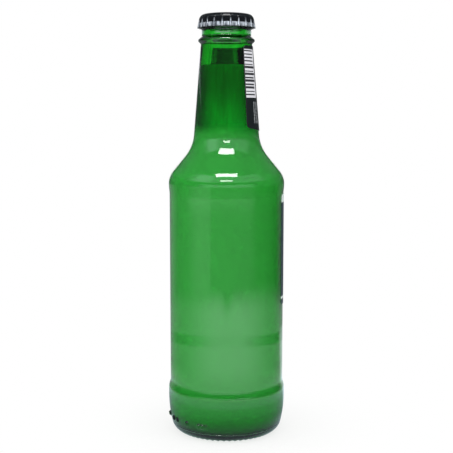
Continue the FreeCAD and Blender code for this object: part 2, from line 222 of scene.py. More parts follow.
def noise(place, size, detail=2.0, stretch=(1.0, 1.0, 1.0)):
    """Fractal noise with lumps of about a size; a stretch below 1 draws them out along that axis."""
    scaled = add(place.tree, "ShaderNodeMapping", {"Vector": place, "Scale": stretch})
    return add(place.tree, "ShaderNodeTexNoise", {"Vector": scaled, "Scale": 1.0 / size, "Detail": detail})


def bump(height, strength, depth):
    """A shading normal that follows a height."""
    return add(height.tree, "ShaderNodeBump", {"Height": height, "Strength": strength, "Distance": depth})


def rays(tree, kind):
    """1 for rays of a kind."""
    return add(tree, "ShaderNodeLightPath", result=f"Is {kind} Ray")


def seen_rays(tree):
    """1 for rays that see the ground as a picture: from the camera, from gloss and through glass."""
    return largest(*(rays(tree, kind) for kind in ("Camera", "Glossy", "Transmission")))


print("material helpers are ready")

# %% [markdown]
# ## Table
# The ground is plain white. The table is white paint that takes the bottle's shadow, and for rays that
# see it as a picture it also glows, more and more with the distance from the bottle, so that it ends in
# pure white. Close to the bottle the glow still gives three quarters, so its real light and shadow show
# only faintly. What the glass mirrors matters just as much: the bright table top lies in front of the
# foot, and the room behind it is dim and uneven. That picture is drawn on the floor for gloss alone.

# %% Paint the table
MIRROR_RADIUS = 29.0
BRIGHT_SIDE = 4.0
TABLE_EDGE = (0.202, 0.2355)
TABLE_END = (0.31, 0.48)
TABLE_LEVEL = 1.13
ROOM_LEVEL = 0.09
FOOT_STEPS = (
    (0.03, 0.072, 0.14, 0.28),
    (0.072, 0.1, 0.0, 0.36),
    (0.1, 0.185, 0.0, 0.40),
    (0.033, 0.05, 0.16, 0.0),
)


def front_angle(x, y):
    """Angle of a place round the bottle, counted from the front to the right."""
    return x.calc("ARCTAN2", y * -1.0)


def mirrored_room(place):
    """Brightness of table and room as the glass mirrors them, and the distance from the bottle's axis."""
    x, y, _z = split(place)
    distance = length(x, y)
    angle = front_angle(x, y)
    way = distance - (angle * 0.5).calc("COSINE") * (MIRROR_RADIUS * MM)
    side = angle.calc("DEGREES")
    aside = abs(side - BRIGHT_SIDE)
    # the table top, brightest in front, with the dark line of its edge
    fall = aside.ramp(18.0, 105.0, 0.0, 0.86) * way.ramp(0.05, 0.15)
    edge = way.band(*TABLE_EDGE, 0.004) * aside.ramp(18.0, 100.0, 0.1, 0.78)
    reach = way + side.band(-6.0, 8.0, 7.0) * 0.04
    lit = (TABLE_LEVEL - fall) * reach.ramp(*TABLE_END, 1.0, 0.0) * (1.0 - edge)
    # the dim room round it, with a window at the left and a pale wall far in front
    window = side.ramp(-90.0, -52.0, 0.0, 0.3) * side.ramp(-35.0, -28.0, 1.0, 0.2)
    far = way.ramp(1.0, 1.6, 0.0, 0.3) * aside.ramp(70.0, 100.0, 1.0, 0.0)
    room = (window + ROOM_LEVEL + far) * side.ramp(45.0, 65.0, 1.0, 0.0)
    room = room + abs(side).ramp(112.0, 135.0, 0.0, 0.13)
    # the bottle's own shade round its foot, and light that has come through it at the back
    foot = distance.ramp(*FOOT_STEPS[0])
    for step in FOOT_STEPS[1:]:
        foot = foot + distance.ramp(*step)
    glow = side.ramp(125.0, 140.0, 0.0, 0.4) * distance.band(0.05, 0.25, 0.02)
    return largest(lit, room) * foot + glow, distance


def table_paint():
    """White paint that ends in pure white, with its own brightness in the gloss of the bottle."""
    material, place = new_material("table_paint")
    tree = place.tree
    gloss = rays(tree, "Glossy")
    mirrored, distance = mirrored_room(place)
    glow = largest(seen_rays(tree) * distance.ramp(0.03, 0.10, 0.75, 1.0), gloss)
    strength = add(tree, "ShaderNodeMix", {0: gloss, 2: 1.0, 3: mirrored}, data_type="FLOAT")
    tone = mixed(distance.ramp(0.09, 0.13), (0.80, 1.0, 1.08, 1.0), (0.86, 1.0, 0.97, 1.0))
    tone = mixed(gloss, grey(1.0), tone)
    paint = add(tree, "ShaderNodeBsdfDiffuse", {"Color": grey(0.93)})
    light = add(tree, "ShaderNodeEmission", {"Color": tone, "Strength": strength})
    return skin(material, {0: glow, 1: paint, 2: light}, "MixShader")


def stage_piece(name, points, faces, material):
    """A piece of the studio, which isn't part of the bottle."""
    mesh = bpy.data.meshes.new(name)
    mesh.from_pydata(points, [], faces)
    mesh.materials.append(material)
    piece = bpy.data.objects.new(name, mesh)
    scene.collection.objects.link(piece)
    return piece


def rectangle(width, height):
    """Corners of a rectangle about the middle."""
    return [(x * width / 2, y * height / 2) for x, y in ((-1, -1), (1, -1), (1, 1), (-1, 1))]


TABLE_SIZE = 16.0
TABLE_TOP = -0.1 * MM
SQUARE = [(0, 1, 2, 3)]
corners = [(x, y, TABLE_TOP) for x, y in rectangle(TABLE_SIZE, TABLE_SIZE)]
stage_piece("table", corners, SQUARE, table_paint())
print("table is", TABLE_SIZE, "m wide")

# %% [markdown]
# ## Dark cards
# On a white ground glass and black lacquer lose their edges, because they mirror the white. Photographers
# set dark cards round them. Here a drum of card stands round the bottle, open towards the back, with a
# lid, and its paint is a painted reflection of a dim room: a pale strip low down at the front, a narrow
# one at the back, and brighter walls higher up. Only gloss sees the drum: it throws no shadow and takes no
# light. A dark disc with a faint glow of its own lies under the base as painted shade, and keeps the thick
# base dark.

# %% Set up the cards and the disc of painted shade


def card_paint(name, level):
    """Studio card with an even brightness of its own, whatever the lamps."""
    return skin(new_material(name)[0], {"Color": grey(1.0), "Strength": level}, "Emission")


def room_card():
    """Dark card with the picture of a room: pale strips low down and brighter walls higher up."""
    material, place = new_material("room_card")
    x, y, height = split(place)
    side = front_angle(x, y).calc("DEGREES")
    aside = abs(side)
    rise = (height - SHOULDER_HEIGHT).calc("ARCTAN2", length(x, y)).calc("DEGREES")
    # pale strips low down, at the front and towards the back
    front = height.ramp(0.400, 0.404, 0.65, 0.0) + height.band(0.390, 0.402, 0.002) * 1.5
    front = front * aside.ramp(35.0, 66.0, 1.0, 0.0)
    back = side.ramp(85.0, 115.0, 0.0, 0.8) + side.ramp(-160.0, -100.0, 0.8, 0.0)
    back = height.band(0.382, 0.403, 0.003) * back
    # walls above them, brighter at the left of the front
    walls = (side.band(-70.0, -33.0, 8.0) * 0.5 + 0.5) * rise.band(18.5, 52.0, 2.5)
    walls = walls * aside.ramp(66.0, 100.0, 1.0, 0.15)
    strength = front + back + walls + rise.ramp(45.0, 60.0, 0.075, 0.16)
    return skin(material, {"Color": (0.85, 1.0, 1.05, 1.0), "Strength": strength}, "Emission")


def gloss_only(card):
    """Hide a card from everything but gloss."""
    for kind in ("camera", "diffuse", "transmission", "shadow", "volume_scatter"):
        setattr(card, f"visible_{kind}", False)


def ring_points(radius, height, azimuths):
    """Points on a level circle, at azimuths in degrees."""
    angles = [math.radians(azimuth) for azimuth in azimuths]
    return [(radius * math.cos(angle), radius * math.sin(angle), height) for angle in angles]


SHOULDER_HEIGHT = 0.13
CARD_RADIUS = 2.2
CARD_HEIGHT = 2.0
CARD_OPENING = 36.0
SHADE_DISC_RADIUS = 21.4 * MM
SHADE_DISC_LEVEL = 0.14
STEPS = 60

turn = [90 + CARD_OPENING / 2 + (360 - CARD_OPENING) * step / STEPS for step in range(STEPS + 1)]
wall = ring_points(CARD_RADIUS, 0.0, turn) + ring_points(CARD_RADIUS, CARD_HEIGHT, turn)
wall_faces = [(step, step + 1, step + STEPS + 2, step + STEPS + 1) for step in range(STEPS)]
full_turn = [360 * step / STEPS for step in range(STEPS)]
disc = [tuple(range(STEPS))]
lid = ring_points(CARD_RADIUS, CARD_HEIGHT, full_turn)
ROOM_CARD = room_card()
gloss_only(stage_piece("card_wall", wall, wall_faces, ROOM_CARD))
gloss_only(stage_piece("card_lid", lid, disc, ROOM_CARD))
# painted shade: a dark disc with a faint glow of its own lies under the base, where the bottle's shade falls
felt = ring_points(SHADE_DISC_RADIUS, TABLE_TOP / 2, full_turn)
stage_piece("felt", felt, disc, card_paint("felt", SHADE_DISC_LEVEL))
print("cards leave", CARD_OPENING, "degrees open at the back")

# %% [markdown]
# ## Light
# An even white sky gives most of the light. One soft box hangs in front of the bottle and above it, and a
# smaller one further forward. Their faces are bright in gloss alone, and their mirror images are the
# white patches on the shoulder and the short bar on the cap. Two large boxes, which gloss doesn't see,
# fill in the left side and the right.

# %% Hang the lamps and paint the sky


def soft_box(name, place, width, height, light, glare=0.0):
    """A rectangular lamp aimed at the shoulder, with its light and its face's glare in gloss; white is 1."""
    lamp = bpy.data.lights.new(name, "AREA")
    lamp.shape = "RECTANGLE"
    lamp.size = width
    lamp.size_y = height
    lamp.energy = light * math.pi * width * height
    made = bpy.data.objects.new(name, lamp)
    scene.collection.objects.link(made)
    aim = (Vector((0.0, 0.0, LAMP_AIM)) - Vector(place)).to_track_quat("-Z", "Y")
    made.matrix_world = Matrix.Translation(place) @ aim.to_matrix().to_4x4()
    made.visible_glossy = False
    if glare:
        face = [Vector(place) + aim @ Vector((x, y, 0.0)) for x, y in rectangle(width, height)]
        gloss_only(stage_piece(f"{name}_face", face, SQUARE, card_paint(f"{name}_face", glare)))


SKY_LIGHT = 0.98
LAMP_AIM = 140.0 * MM
soft_box("soft_box", (0.0, -0.33, 0.66), 0.38, 0.20, 1.6, 12.0)
soft_box("front_box", (0.0, -0.95, 0.645), 0.42, 0.12, 3.0, 8.0)
soft_box("side_box", (-0.8, -0.2, 0.3), 0.6, 0.6, 1.5)
soft_box("fill_box", (0.75, -0.45, 0.3), 0.6, 0.6, 1.35)

scene.world = bpy.data.worlds.new("studio")
scene.world.use_nodes = True
sky = scene.world.node_tree
sky.nodes.clear()
sky_strength = seen_rays(sky).ramp(0.0, 1.0, SKY_LIGHT, 1.0)
sky_light = add(sky, "ShaderNodeBackground", {"Color": grey(1.0), "Strength": sky_strength})
plug(sky, sky.nodes.new("ShaderNodeOutputWorld").inputs["Surface"], sky_light)

# %% [markdown]
# ## Outlines
# Glass, drink, cap and liner are turned shapes. Each has an outline: a chain of corners in millimetres,
# as distance from the axis and height, with a rounding where the corner is soft. That is how a drawing
# gives such a shape, and it needs far fewer numbers than a traced curve. One helper rounds the corners
# off, one holds straight runs straight, one shifts an outline sideways, and one reads how far from the
# axis an outline runs at a height.

# %% Round, shift and read outlines
HOLD = 0.4


def straight_to(points, target):
    """Add a straight run. Two points near its ends keep smooth shading from bending it."""
    run = target - points[-1]
    if run.length > 4 * HOLD:
        step = run.normalized() * HOLD
        points += [points[-1] + step, target - step]
    points.append(target)


def rounded(*corners):
    """Points along corners of (distance, height), with a rounding and its steps where they are given."""
    points = [Vector(corners[0][:2])]
    for last, corner, following in zip(corners, corners[1:], corners[2:]):
        tip = Vector(corner[:2])
        rounding = corner[2] if len(corner) > 2 else 0.0
        if not rounding:
            straight_to(points, tip)
            continue
        back = (Vector(last[:2]) - tip).normalized()
        ahead = (Vector(following[:2]) - tip).normalized()
        half = back.angle(ahead) / 2
        centre = tip + (back + ahead).normalized() * rounding / math.sin(half)
        arm = tip + back * rounding / math.tan(half) - centre
        sweep = math.copysign(math.pi - 2 * half, ahead.cross(back))
        steps = corner[3] if len(corner) > 3 else max(3, math.ceil(abs(sweep) / math.radians(7)))
        arc = [centre + Matrix.Rotation(sweep * step / steps, 2) @ arm for step in range(steps + 1)]
        straight_to(points, arc[0])
        points += arc[1:]
    straight_to(points, Vector(corners[-1][:2]))
    return points


def shifted(points, distance):
    """The outline moved to the left of its way by a distance, or to the right by a negative one."""
    aside = []
    for last, point, following in zip(points[:1] + points, points, points[1:] + points[-1:]):
        along = (following - last).normalized()
        aside.append(point + Vector((-along.y, along.x)) * distance)
    return aside


def distance_at(points, height):
    """Distance from the axis where the outline passes a height."""
    for first, second in zip(points, points[1:]):
        if first.y != second.y and min(first.y, second.y) <= height <= max(first.y, second.y):
            return first.lerp(second, (height - first.y) / (second.y - first.y)).x
    raise ValueError(f"the outline doesn't reach {height} mm")


def outline_mesh(name, points):
    """The outline as a chain of edges in metres, with the axis as Z."""
    mesh = bpy.data.meshes.new(name)
    mesh.from_pydata([(max(point.x, 0.0) * MM, 0.0, point.y * MM) for point in points],
                     [(number, number + 1) for number in range(len(points) - 1)], [])
    return mesh


print("outline helpers are ready")

# %% [markdown]
# ## A lathe in Geometry Nodes
# The lathe lays a grid with a row for each point of the outline and a column for each step round the
# axis, and then moves every point of the grid to its place. It keeps each point of the outline, which a
# curve swept along a circle would not, and closes its seam and poles by merging. Later rules can still
# move points of the turned skin.

# %% Build the lathe


def new_tree(name, **sockets):
    """A Geometry Nodes tree with its inputs, which are listed by kind, and its result."""
    tree = bpy.data.node_groups.new(name, "GeometryNodeTree")
    for kind, labels in {"Geometry": ["Geometry"], **sockets}.items():
        for label in labels:
            tree.interface.new_socket(label, in_out="INPUT", socket_type=f"NodeSocket{kind}")
    tree.interface.new_socket("Geometry", in_out="OUTPUT", socket_type="NodeSocketGeometry")
    given = {socket.name: Field(tree, socket) for socket in tree.nodes.new("NodeGroupInput").outputs}
    return tree, given, tree.nodes.new("NodeGroupOutput").inputs["Geometry"]


def from_polar(distance, angle, height=0.0):
    """A point from its distance from the axis, the angle round it and its height."""
    return join(distance * angle.calc("COSINE"), distance * angle.calc("SINE"), height)


def stored(geometry, name, value, kind="FLOAT", domain="POINT"):
    """Geometry that carries a named value."""
    values = {"Geometry": geometry, "Name": name, "Value": value}
    return add(geometry.tree, "GeometryNodeStoreNamedAttribute", values, data_type=kind, domain=domain)


def moved(geometry, **way):
    """Geometry with its points moved to a Position or by an Offset."""
    return add(geometry.tree, "GeometryNodeSetPosition", {"Geometry": geometry, **way})


def unit_grid(columns, rows):
    """A flat grid about the middle, one unit wide each way."""
    values = {"Size X": 1.0, "Size Y": 1.0, "Vertices X": columns, "Vertices Y": rows}
    return add(columns.tree, "GeometryNodeMeshGrid", values, "Mesh")


def smooth(geometry):
    """Geometry with smooth shading."""
    return add(geometry.tree, "GeometryNodeSetShadeSmooth", {0: geometry})


def lathe_tree():
    """Turn a chain of points once round Z, and number its rows."""
    tree, given, result = new_tree("lathe", Int=["Columns"])
    outline = given["Geometry"]
    rows = add(tree, "GeometryNodeAttributeDomainSize", {0: outline}, "Point Count", component="MESH")
    place = add(tree, "GeometryNodeInputPosition")
    x, y, _z = split(place)
    row = ((x + 0.5) * (rows - 1.0)).calc("ROUND")
    numbered = stored(unit_grid(rows, given["Columns"] + 1.0), "row", row)
    values = {"Geometry": outline, "Value": place, "Index": row}
    distance, _y, height = split(add(tree, "GeometryNodeSampleIndex", values, data_type="FLOAT_VECTOR"))
    turned = moved(numbered, Position=from_polar(distance, (y + 0.5) * (2 * math.pi), height))
    closed = add(tree, "GeometryNodeMergeByDistance", {"Geometry": turned, "Distance": SEAM * MM})
    plug(tree, result, smooth(closed))
    return tree


SEAM = 0.001
LATHE = lathe_tree()


def lathe(given):
    """The lathe, used in another tree on its geometry and columns."""
    values = {label: given[label] for label in ("Geometry", "Columns")}
    return add(given["Geometry"].tree, "GeometryNodeGroup", values, node_tree=LATHE)


def polar(tree):
    """Distance from the axis, angle round it and height of each point."""
    x, y, height = split(add(tree, "GeometryNodeInputPosition"))
    return length(x, y), y.calc("ARCTAN2", x), height


def dressed(geometry, material):
    """The end of a tree: real geometry with its material."""
    real = add(geometry.tree, "GeometryNodeRealizeInstances", {0: geometry})
    return add(geometry.tree, "GeometryNodeSetMaterial", {"Geometry": real, "Material": material})


def turned_tree():
    """A turned piece with one material."""
    tree, given, result = new_tree("turned_piece", Int=["Columns"], Material=["Material"])
    plug(tree, result, dressed(lathe(given), given["Material"]))
    return tree


TURNED = turned_tree()
print("trees:", LATHE.name, TURNED.name)

# %% [markdown]
# A tree's result becomes a plain mesh before it goes into the frame, with its doubles merged and its
# faces turned outwards. The helper also counts open edges: a volume such as tinted glass only works in a
# closed skin.

# %% Turn a tree's result into a piece


def made_piece(name, mesh, tree, inputs, body, node, thickness=0.0):
    """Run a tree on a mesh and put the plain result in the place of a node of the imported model."""
    piece = bpy.data.objects.new(name, mesh)
    scene.collection.objects.link(piece)
    modifier = piece.modifiers.new(tree.name, "NODES")
    modifier.node_group = tree
    for item in tree.interface.items_tree:
        if item.in_out == "INPUT" and item.name in inputs:
            modifier[item.identifier] = inputs[item.name]
    if thickness:
        wall = piece.modifiers.new("thickness", "SOLIDIFY")
        wall.thickness = thickness
        wall.offset = 1.0
    graph = bpy.context.evaluated_depsgraph_get()
    evaluated = piece.evaluated_get(graph)
    plain = bpy.data.meshes.new_from_object(evaluated, preserve_all_data_layers=True, depsgraph=graph)
    piece.modifiers.clear()
    piece.data = plain
    shape = bmesh.new()
    shape.from_mesh(plain)
    bmesh.ops.remove_doubles(shape, verts=shape.verts, dist=SEAM / 2 * MM)
    bmesh.ops.recalc_face_normals(shape, faces=shape.faces)
    gaps = sum(not edge.is_manifold for edge in shape.edges)
    volume = shape.calc_volume(signed=True) / MM**3
    shape.to_mesh(plain)
    shape.free()
    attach(piece, body)
    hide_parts(node)
    print(f"{name}: {len(plain.polygons)} faces, {gaps} open edges, {volume:.1f} mm3")


print("pieces can be made")

# %% [markdown]
# ## Green glass
# Bottle glass is tinted through and through, so a thick base looks darker than a thin wall. A surface
# colour can't do that: the tint is a volume that takes away red and blue along the way. The skin is
# smooth, with a faint ripple from the mould. Makers spray bottles with a thin hard coat, which adds to
# the gloss, but keep it off the mouth, where it would rust the cap. Bottles rub on each other at the heel
# and the shoulder, which leaves specks. Lamps reach the drink because shadow rays meet a clear surface.

# %% Mix the green glass
RUBBED_BANDS = ((18.7, 22.5), (127.5, 129.0))
COAT_END = (205.2, 205.8)


def green_glass():
    """Tinted glass with a coated, slightly rippled skin and two rubbed bands."""
    material, place = new_material("green_glass")
    tree = place.tree
    height = split(place)[2]
    bands = largest(*(height.band(*mm(low, high, 1.2)) for low, high in RUBBED_BANDS))
    specks = noise(place, 0.9 * MM, 3.0, (1.0, 1.0, 0.35)).ramp(0.56, 0.72)
    ripple = noise(place, 16.0 * MM, 1.0, (1.0, 1.0, 0.4)) + noise(place, 5.0 * MM, 1.0) * 0.12
    glass = add(tree, "ShaderNodeBsdfPrincipled", {
        "Base Color": (0.95, 1.0, 0.96, 1.0),
        "Roughness": bands * specks * 0.3,
        "Normal": bump(ripple, 0.12, 0.8 * MM),
        "Transmission Weight": 1.0,
        "IOR": 1.5,
        "Coat Weight": height.ramp(*mm(*COAT_END), 1.0, 0.0),
        "Coat Roughness": 0.02,
    })
    clear = add(tree, "ShaderNodeBsdfTransparent", {"Color": grey(1.0)})
    tint = add(tree, "ShaderNodeVolumeAbsorption", {"Color": (0.02, 0.79, 0.14, 1.0), "Density": 500.0})
    return skin(material, {0: rays(tree, "Shadow"), 1: glass, 2: clear}, "MixShader", tint)


GREEN_GLASS = green_glass()
print("mixed", GREEN_GLASS.name)

# %% [markdown]
# ## The glass
# The outside runs from the push-up under the base over the heel, the heel band, the sunk label panel, the
# shoulder and the neck to the transfer ring and the lip. The inside runs back down the bore to the floor
# of the bottle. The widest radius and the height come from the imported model.

# %% Draw the glass
BOTTLE = box_mm("glass_bottle")[1]
HEEL = BOTTLE.x
PANEL = 29.15
SHOULDER = 29.52
NECK_TOP = (13.0, 198.73)
NECK_FOOT = (17.15, 147.52)
RING = 200.45
FINISH = 12.55
LIP = 13.1
BORE = 8.5
INNER = box_mm("drink")[1].x

glass_outside = rounded(
    (0.0, 2.6),
    (9.96, 2.6, 75.0),
    (19.58, 0.0, 0.8),
    (21.4, 0.0),
    (21.65, 0.0),
    (21.9, 0.0),
    (27.25, 0.0, 5.96, 20),
    (HEEL, 11.5, 59.4, 40),
    (HEEL, 23.3, 5.5),
    (PANEL, 26.2, 5.5),
    (PANEL, 123.9, 20.0),
    (SHOULDER, 127.2, 20.0),
    (SHOULDER, 132.46, 11.0, 12),
    (*NECK_FOOT, 19.0, 12),
    (*NECK_TOP, 0.8),
    (14.72, RING, 0.9, 14),
    (FINISH, 202.62, 0.8),
    (FINISH, 205.75, 0.4),
    (LIP, 206.3, 0.4),
    (LIP, 209.0, 1.5),
    (12.3, BOTTLE.z, 1.3),
    (10.5, BOTTLE.z),
)
glass_inside = rounded(
    (10.5, BOTTLE.z),
    (BORE, BOTTLE.z, 1.1),
    (BORE, 197.0, 40.0),
    (14.77, 146.03, 21.5, 12),
    (INNER, 131.56, 8.5),
    (INNER, -1.78, 12.0, 16),
    (5.43, 6.0, 30.6, 10),
    (0.0, 6.0),
)
print(len(glass_outside), "points outside,", len(glass_inside), "inside")

# %% [markdown]
# Two rules change the turned skin. Notches all round the bearing ring let water drain from under a
# bottle, and a row of raised dots on the heel marks the mould. Both move points of the one skin, because
# dots of glass laid over the glass would show a false wall inside. The dots grow out of short strokes,
# which are only a guide.

# %% Turn the glass


def beside_nearest(distance, angle, count):
    """Way round from the nearest of a number of even lines to a point at a distance from the axis."""
    pitch = 2 * math.pi / count
    return distance * (angle - (angle / pitch).calc("ROUND") * pitch)


def half_chord(radius, offset):
    """Half the width of a circle at an offset from its middle."""
    return largest(radius * radius - offset * offset, 0.0).calc("SQRT")


def notch_lift(given, distance, angle, height):
    """How far a point of the bearing ring is lifted by the round notch that it lies in."""
    aside = beside_nearest(distance, angle, given["Notches"])
    start = given["Notch Start"]
    rounding = given["Notch Radius"]
    roof = half_chord(rounding, aside) - rounding + given["Notch Depth"]
    return distance.ramp(start, start + NOTCH_EDGE * MM) * largest(roof - height, 0.0)


def glass_tree():
    """Turned glass with notches round its bearing ring and dots on its heel."""
    tree, given, result = new_tree(
        "turned_glass", Int=["Columns", "Notches"], Object=["Dot Strokes"], Material=["Material"],
        Float=["Notch Radius", "Notch Depth", "Notch Start", "Dot Radius", "Dot Height"])
    distance, angle, height = polar(tree)
    lift = add(tree, "ShaderNodeCombineXYZ", {"Z": notch_lift(given, distance, angle, height)})
    notched = moved(lathe(given), Offset=lift)
    strokes = add(tree, "GeometryNodeObjectInfo", {"Object": given["Dot Strokes"]}, "Geometry")
    away = add(tree, "GeometryNodeProximity", {0: strokes}, "Distance", target_element="EDGES")
    radius = given["Dot Radius"]
    swell = away.ramp(radius * 0.3, radius, 1.0, 0.0) * given["Dot Height"]
    dotted = moved(notched, Offset=from_polar(swell, angle))
    plug(tree, result, dressed(dotted, given["Material"]))
    return tree


def heel_strokes(azimuths, low, high):
    """Short upright strokes on the heel between two heights, which the dots grow from."""
    points = []
    for height in (low, high):
        points += ring_points(distance_at(glass_outside, height) * MM, height * MM, azimuths)
    count = len(azimuths)
    mesh = bpy.data.meshes.new("heel_strokes")
    mesh.from_pydata(points, [(number, number + count) for number in range(count)], [])
    strokes = bpy.data.objects.new("heel_strokes", mesh)
    scene.collection.objects.link(strokes)
    return strokes


DOT_AZIMUTHS = (-173.3, -156.5, -148.5, -132.8, -118.3, -114.4, -110.6)
DOT_LOW = 8.0
DOT_HIGH = 8.9
NOTCHES = 56
NOTCH_EDGE = 0.25
dot_strokes = heel_strokes(DOT_AZIMUTHS, DOT_LOW, DOT_HIGH)
made_piece(
    "bottle_glass", outline_mesh("glass_outline", glass_outside + glass_inside[1:]), glass_tree(),
    {"Columns": 8 * NOTCHES, "Notches": NOTCHES, "Notch Radius": 1.05 * MM, "Notch Depth": 1.3 * MM,
     "Notch Start": 21.5 * MM, "Dot Strokes": dot_strokes, "Dot Radius": 1.2 * MM, "Dot Height": 1.0 * MM,
     "Material": GREEN_GLASS},
    "bottle", "glass_bottle")
bpy.data.objects.remove(dot_strokes)

# %% [markdown]
# ## The drink
# The drink is cloudy: light wanders about in it before it comes out, which is subsurface scattering with
# a long reach. It wets the glass, so there is no air between them to see. Its skin therefore lies a
# little way inside the glass wall, which is the inside of the glass shifted outwards. At the top it
# climbs the wall, as every liquid does.

# %% Fill in the drink


def cloudy_drink():
    """Pale cloudy drink, whose colour in the neck is painted shade: darker upwards and at the left, lighter
    at the right.
    """
    material, place = new_material("cloudy_drink")
    across, _y, height = split(place)
    clouds = noise(place, 30.0 * MM, 3.0, (1.0, 1.0, 0.5)) - 0.5
    level = height + clouds * (6.0 * MM)
    streaks = noise(place, 4.0 * MM, 2.0, (1.0, 1.0, 0.03))
    # painted shade of the label round the neck: darker than the body and darker upwards, painted lighter at
    # the right and darker at the left, with dark streaks up it
    neck = (0.05, 0.85, 0.32, 1.0)
    for share, colour in (
        (height.ramp(*mm(158.0, 178.0)), (0.045, 0.52, 0.22, 1.0)),
        (streaks.ramp(0.35, 0.65, 0.45, 0.0), (0.015, 0.22, 0.08, 1.0)),
        (across.ramp(*mm(0.0, 10.0), 0.0, 0.95), (0.05, 0.95, 0.40, 1.0)),
        (across.ramp(*mm(-12.5, -5.0), 0.92, 0.0), (0.03, 0.15, 0.12, 1.0)),
    ):
        neck = mixed(share, neck, colour)
    # below the neck the drink is a little darker towards the bottom
    lower_drink = mixed(level.ramp(*mm(8.0, 24.0)), (0.90, 0.92, 0.84, 1.0), (0.94, 0.95, 0.86, 1.0))
    return skin(material, {
        "Base Color": mixed(level.ramp(*mm(151.0, 159.0)), lower_drink, neck),
        "Roughness": clouds.ramp(-0.2, 0.2, 0.3, 0.4),
        "Specular IOR Level": 0.05,
        "Subsurface Weight": 1.0,
        "Subsurface Radius": (1.0, 1.0, 1.0),
        "Subsurface Scale": 0.03,
    })


WETTING = 0.15
FILL = box_mm("drink")[1].z
CLIMB = 0.7
wet_wall = [point for point in shifted(glass_inside, WETTING) if point.y < FILL]
wall_top = Vector((distance_at(glass_inside, FILL + CLIMB) + WETTING, FILL + CLIMB))
drink_outline = wet_wall[::-1] + rounded(wall_top, (wall_top.x - 0.5, FILL, 0.9), (0.0, FILL))
made_piece("cloudy_drink", outline_mesh("drink_outline", drink_outline), TURNED,
           {"Columns": 192, "Material": cloudy_drink()}, "bottle", "drink")

# %% [markdown]
# ## The crown cap
# A crown cap is stamped from thin tinplate, lacquered black outside, and its skirt is pressed into 21
# flutes. The ridges are narrow and the hollows between them wide. A rule gives that: near the line of
# each ridge the skirt is pushed outwards, by more towards the lower edge. The press stretches the lacquer
# at the flared edge, which shows unlacquered tin. Tin up the tops of the ridges is a painted highlight
# line, the tin beside each ridge is painted darker as shade, and the lowest rim is left black as painted
# shade. Inside, the tinplate is painted dark as the shade in the cap.

# %% Mix lacquer and tinplate
RIM_SHADE_TOP = (206.75, 206.95)
STRIP_TOP = (208.7, 208.95)
RIDGE_HIGHLIGHT_TOP = (209.3, 211.1)


def crown_lacquer():
    """Black lacquer, tin at the flared edge, painted highlights up the ridges, painted shade beside them."""
    material, place = new_material("crown_lacquer")
    height = split(place)[2]
    ridge = add(place.tree, "ShaderNodeAttribute", result="Fac", attribute_name="ridge")
    edge = height + (noise(place, 1.1 * MM, 3.0) - 0.5) * (0.7 * MM)
    # painted shade: the tin strip stops short of the lowest rim, which faces down and stays black
    strip = edge.ramp(*mm(*STRIP_TOP), 1.0, 0.0) * height.ramp(*mm(*RIM_SHADE_TOP))
    # tin up each ridge top is a painted highlight line
    unlacquered_and_highlight = largest(strip, ridge.ramp(0.5, 0.75) * height.ramp(*mm(*RIDGE_HIGHLIGHT_TOP), 0.75, 0.0))
    streaks = noise(place, 1.1 * MM, 2.0, (1.0, 1.0, 0.25)).ramp(0.35, 0.65)
    tin = mixed(streaks, (0.12, 0.135, 0.165, 1.0), (0.74, 0.78, 0.86, 1.0))
    # painted shade: the tin is darker on the flanks beside each ridge
    tin = mixed(ridge.band(0.12, 0.45, 0.1) * 0.85, tin, (0.05, 0.053, 0.06, 1.0))
    return skin(material, {
        "Base Color": mixed(unlacquered_and_highlight, (0.006, 0.007, 0.009, 1.0), tin),
        "Metallic": unlacquered_and_highlight * 0.6,
        "Roughness": unlacquered_and_highlight.ramp(0.0, 1.0, 0.10, 0.30),
        "Normal": bump(noise(place, 0.8 * MM, 1.0), 0.08, 0.1 * MM),
        "Specular IOR Level": 0.35,
        "Coat Weight": 0.1,
        "Coat Roughness": 0.04,
    })


def tinplate():
    """Clear-lacquered tinplate with its rolling grain, the inside of the cap, painted dark as its shade."""
    material, place = new_material("tinplate")
    grain = noise(place, 1.2 * MM, 3.0, (1.0, 0.15, 1.0))
    return skin(material, {
        # the tinplate's dark colour is painted shade inside the cap
        "Base Color": mixed(grain, (0.06, 0.058, 0.055, 1.0), (0.11, 0.107, 0.10, 1.0)),
        "Metallic": 1.0,
        "Roughness": grain.ramp(0.2, 0.8, 0.25, 0.4),
    })


CROWN_LACQUER = crown_lacquer()
SHADED_TINPLATE = tinplate()
print("mixed", CROWN_LACQUER.name, "and", SHADED_TINPLATE.name)

# %% Press the cap


def crown_tree():
    """A turned cap whose skirt is pushed out into narrow ridges, with tinplate from a given row inwards."""
    tree, given, result = new_tree(
        "pressed_crown", Int=["Columns", "Flutes"], Material=["Lacquer", "Tinplate"],
        Float=["First Ridge", "Ridge Top", "Ridge Foot", "Ridge Height", "Ridge Width", "Inside Row"])
    distance, angle, height = polar(tree)
    aside = abs(beside_nearest(distance, angle - given["First Ridge"], given["Flutes"]))
    values = {"Value": height, "From Min": given["Ridge Top"], "From Max": given["Ridge Foot"]}
    down = add(tree, "ShaderNodeMapRange", values)
    ridge = aside.ramp(0.0, given["Ridge Width"] * (down * 0.5 + 0.5), 1.0, 0.0)
    marked = stored(lathe(given), "ridge", ridge * down.ramp(0.0, 0.3))
    push = ridge * down.calc("POWER", 0.55) * given["Ridge Height"]
    pressed = moved(marked, Offset=from_polar(push, angle))
    row = add(tree, "GeometryNodeInputNamedAttribute", {"Name": "row"}, "Attribute", data_type="FLOAT")
    lined = add(tree, "GeometryNodeSetMaterial", {
        "Geometry": dressed(pressed, given["Lacquer"]),
        "Selection": row.calc("GREATER_THAN", given["Inside Row"]),
        "Material": given["Tinplate"],
    })
    plug(tree, result, lined)
    return tree


